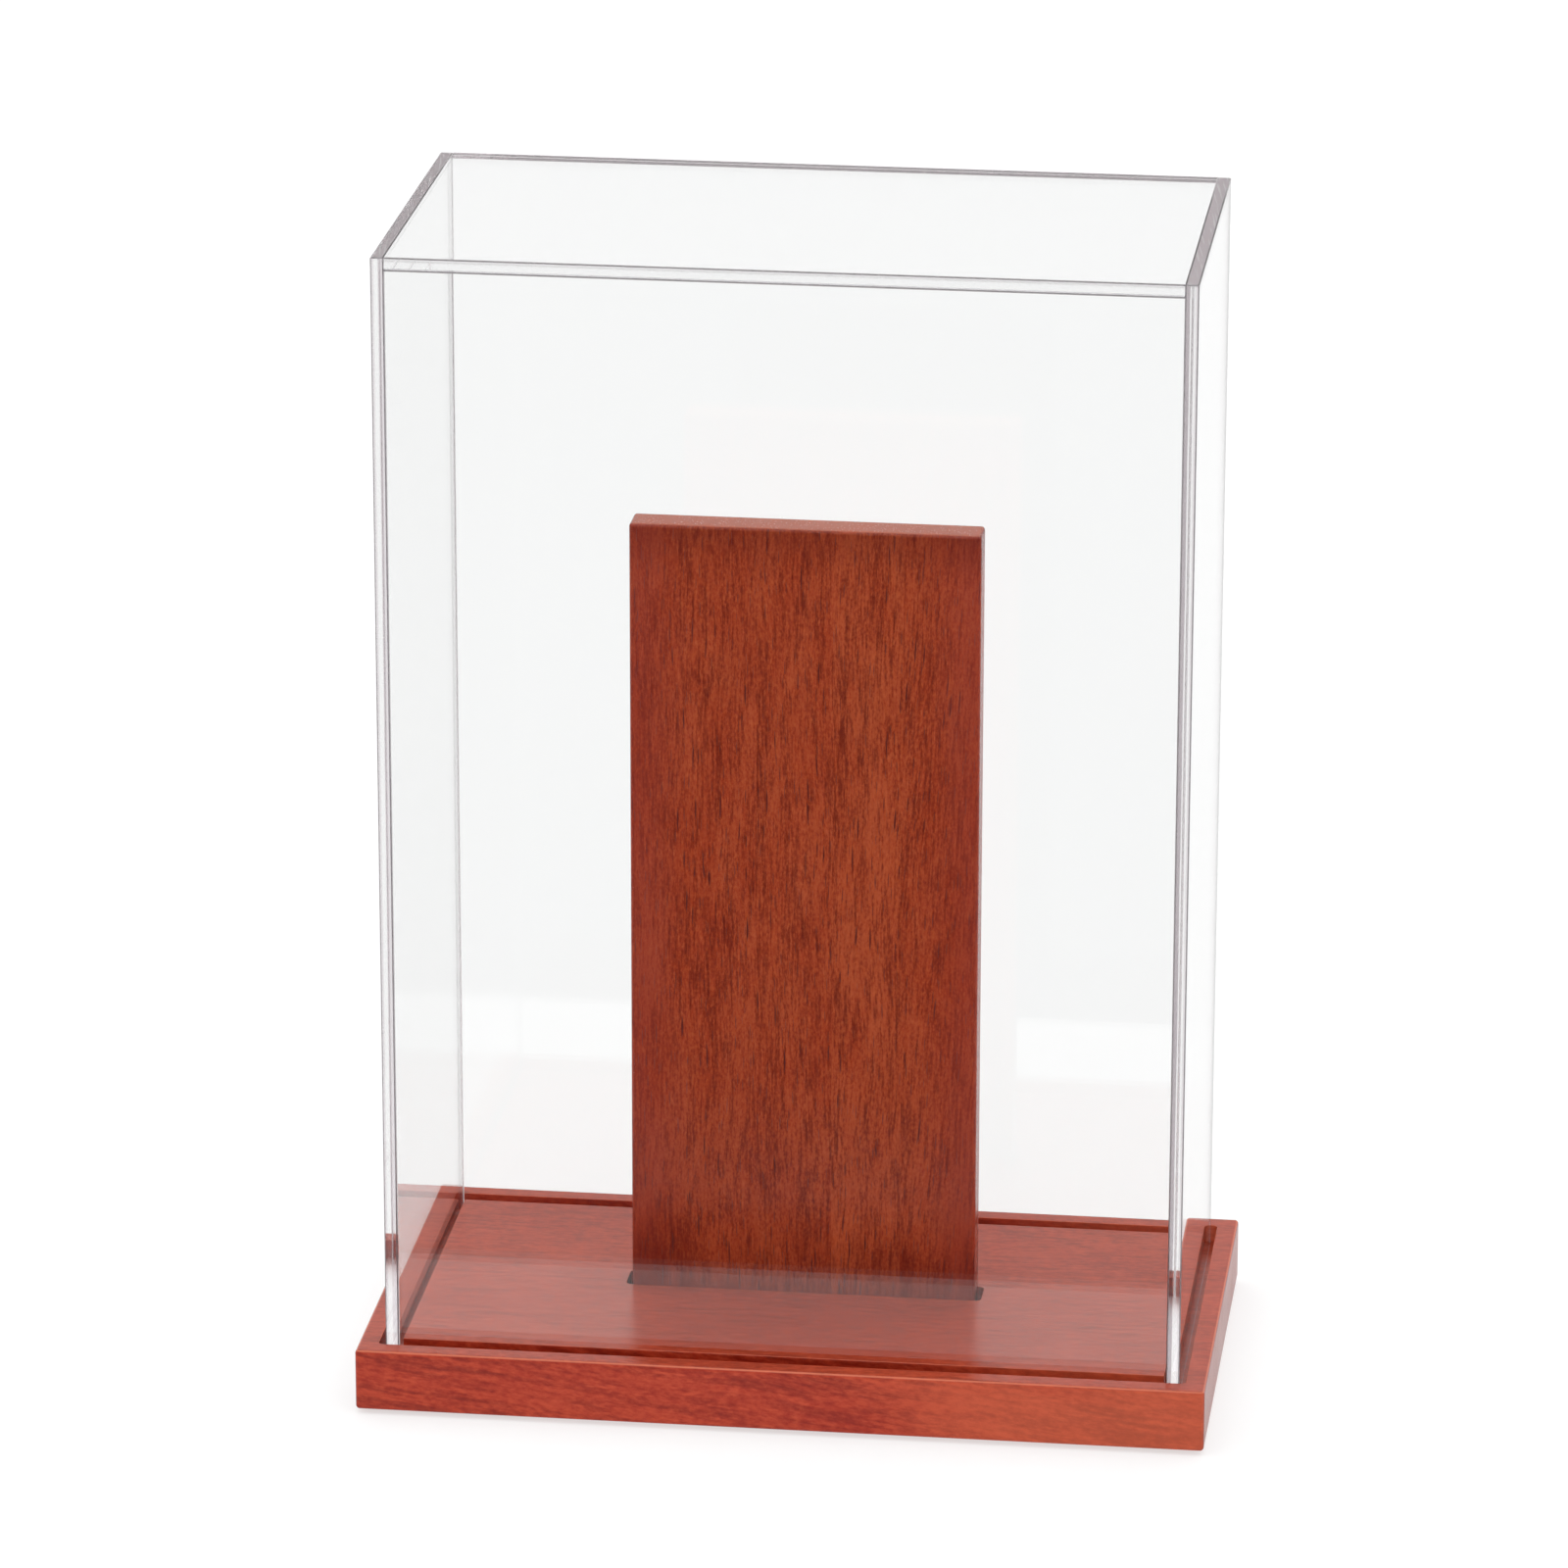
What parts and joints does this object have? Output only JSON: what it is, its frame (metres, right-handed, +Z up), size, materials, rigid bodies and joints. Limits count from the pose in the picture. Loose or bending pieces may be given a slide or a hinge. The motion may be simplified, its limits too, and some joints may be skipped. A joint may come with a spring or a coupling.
{
  "type": "boxing glove display case",
  "caption": "Clear five-sided acrylic cover standing loose in the routed groove of a stained wooden base, with an upright board that holds one boxing glove.",
  "frame": {"origin": "middle of the base on the table, at the underside of the felt pads", "axes": "+Z up, front towards -Y, +X to the right seen from the front"},
  "size_m": [0.267, 0.147, 0.3735],
  "materials": {
    "base_wood": "red-brown stain under satin lacquer",
    "board_wood": "red-brown stain under satin lacquer",
    "acrylic": "clear polished sheet",
    "screw_steel": "zinc plated",
    "pad_felt": "felt"
  },
  "bodies": {
    "base": {"base_plinth": "base_wood", "board_stave_1": "board_wood", "board_stave_2": "board_wood", "board_stave_3": "board_wood", "board_stave_4": "board_wood", "board_screws": "screw_steel", "front_left_pad": "pad_felt", "front_right_pad": "pad_felt", "rear_left_pad": "pad_felt", "rear_right_pad": "pad_felt"},
    "cover": {"front_panel": "acrylic", "back_panel": "acrylic", "left_panel": "acrylic", "right_panel": "acrylic", "top_panel": "acrylic"}
  },
  "joints": [
    {"name": "cover_lift", "type": "slide", "parent": "base", "child": "cover", "axis": [0, 0, 1], "range_m": [0, 0.28]}
  ]
}
